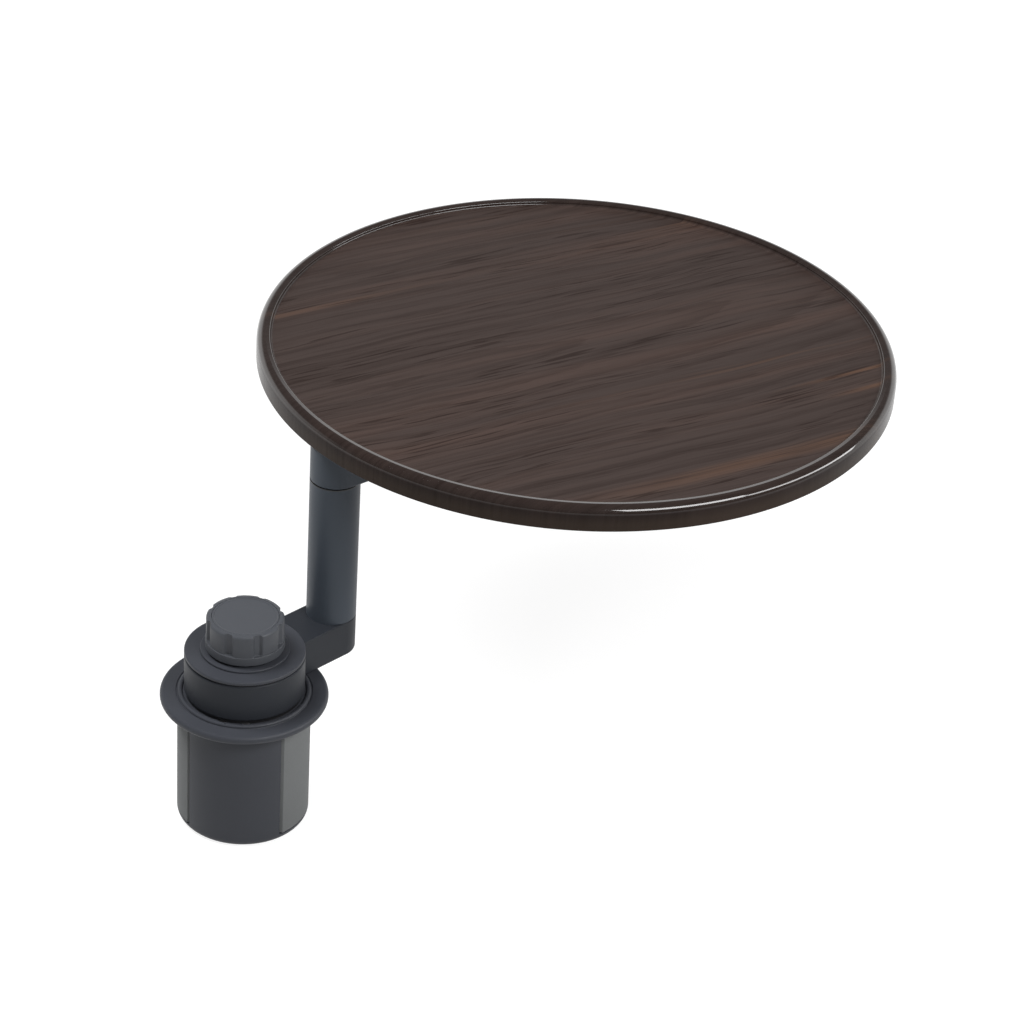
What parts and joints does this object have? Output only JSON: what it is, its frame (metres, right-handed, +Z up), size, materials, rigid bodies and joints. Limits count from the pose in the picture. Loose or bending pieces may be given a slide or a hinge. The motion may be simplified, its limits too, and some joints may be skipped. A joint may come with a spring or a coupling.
{
  "type": "car table",
  "caption": "Round tray table for a car: a rimmed wooden top on swinging arms and a post, over a cylindrical base whose jaws a knob spreads to grip inside a cup holder.",
  "frame": {"origin": "centre of the base's bottom face, which stands on the cup holder's floor", "axes": "+Z up along the base's axis, +X along the lower arm from the base's axis to the post"},
  "size_m": [0.4153, 0.33, 0.2095],
  "materials": {
    "walnut": "gloss lacquer",
    "dark_moulded": "satin moulded",
    "dark_painted": "satin powder coat",
    "knob_plastic": "satin moulded",
    "pad_rubber": "matte",
    "inner_nylon": "matte",
    "slide_nylon": "natural",
    "zinc_steel": "zinc plated",
    "bush_brass": "turned"
  },
  "bodies": {
    "base": {"base_body": "dark_moulded", "top_flange": "dark_moulded", "flange_screws": "zinc_steel", "lower_bush": "bush_brass", "upper_bush": "bush_brass", "cap_ring": "dark_moulded", "ring_screws": "zinc_steel", "hub_washer": "inner_nylon", "spring_washer": "zinc_steel", "thrust_washer": "slide_nylon"},
    "arm": {"lower_arm": "dark_moulded", "post": "dark_painted", "swivel_bush": "inner_nylon", "tie_bolt": "zinc_steel", "tie_washer": "zinc_steel", "tie_nut": "zinc_steel"},
    "head": {"upper_arm": "dark_moulded", "tabletop": "walnut", "table_screws": "zinc_steel"},
    "knob": {"knob": "knob_plastic", "knob_cap": "knob_plastic", "knob_screw": "zinc_steel", "spindle": "zinc_steel"},
    "spreader": {"spreader": "slide_nylon", "spreader_nut": "bush_brass", "drive_pins": "zinc_steel"},
    "left_jaw": {"left_jaw": "inner_nylon", "left_pad": "pad_rubber"},
    "right_jaw": {"right_jaw": "inner_nylon", "right_pad": "pad_rubber"}
  },
  "joints": [
    {"name": "base_swivel", "type": "hinge", "parent": "base", "child": "arm", "pos_m": [0, 0, 0.086], "axis": [0, 0, 1], "continuous": true},
    {"name": "table_swing", "type": "hinge", "parent": "arm", "child": "head", "pos_m": [0.0577, 0, 0.176], "axis": [0, 0, 1], "continuous": true},
    {"name": "knob_turn", "type": "hinge", "parent": "base", "child": "knob", "pos_m": [0, 0, 0.1], "axis": [0, 0, -1], "range_deg": [0, 900]},
    {"name": "spreader_lift", "type": "slide", "parent": "base", "child": "spreader", "axis": [0, 0, 1], "range_m": [0, 0.01]},
    {"name": "right_jaw_slide", "type": "slide", "parent": "base", "child": "right_jaw", "axis": [0.6293, -0.7771, 0], "range_m": [0, 0.0075]},
    {"name": "left_jaw_slide", "type": "slide", "parent": "base", "child": "left_jaw", "axis": [-0.6293, 0.7771, 0], "range_m": [0, 0.0075]}
  ],
  "couplings": [
    {"joint": "spreader_lift", "follows": "knob_turn", "m_per_rad": 0.00063662},
    {"joint": "right_jaw_slide", "follows": "knob_turn", "m_per_rad": 0.00047746},
    {"joint": "left_jaw_slide", "follows": "knob_turn", "m_per_rad": 0.00047746}
  ]
}
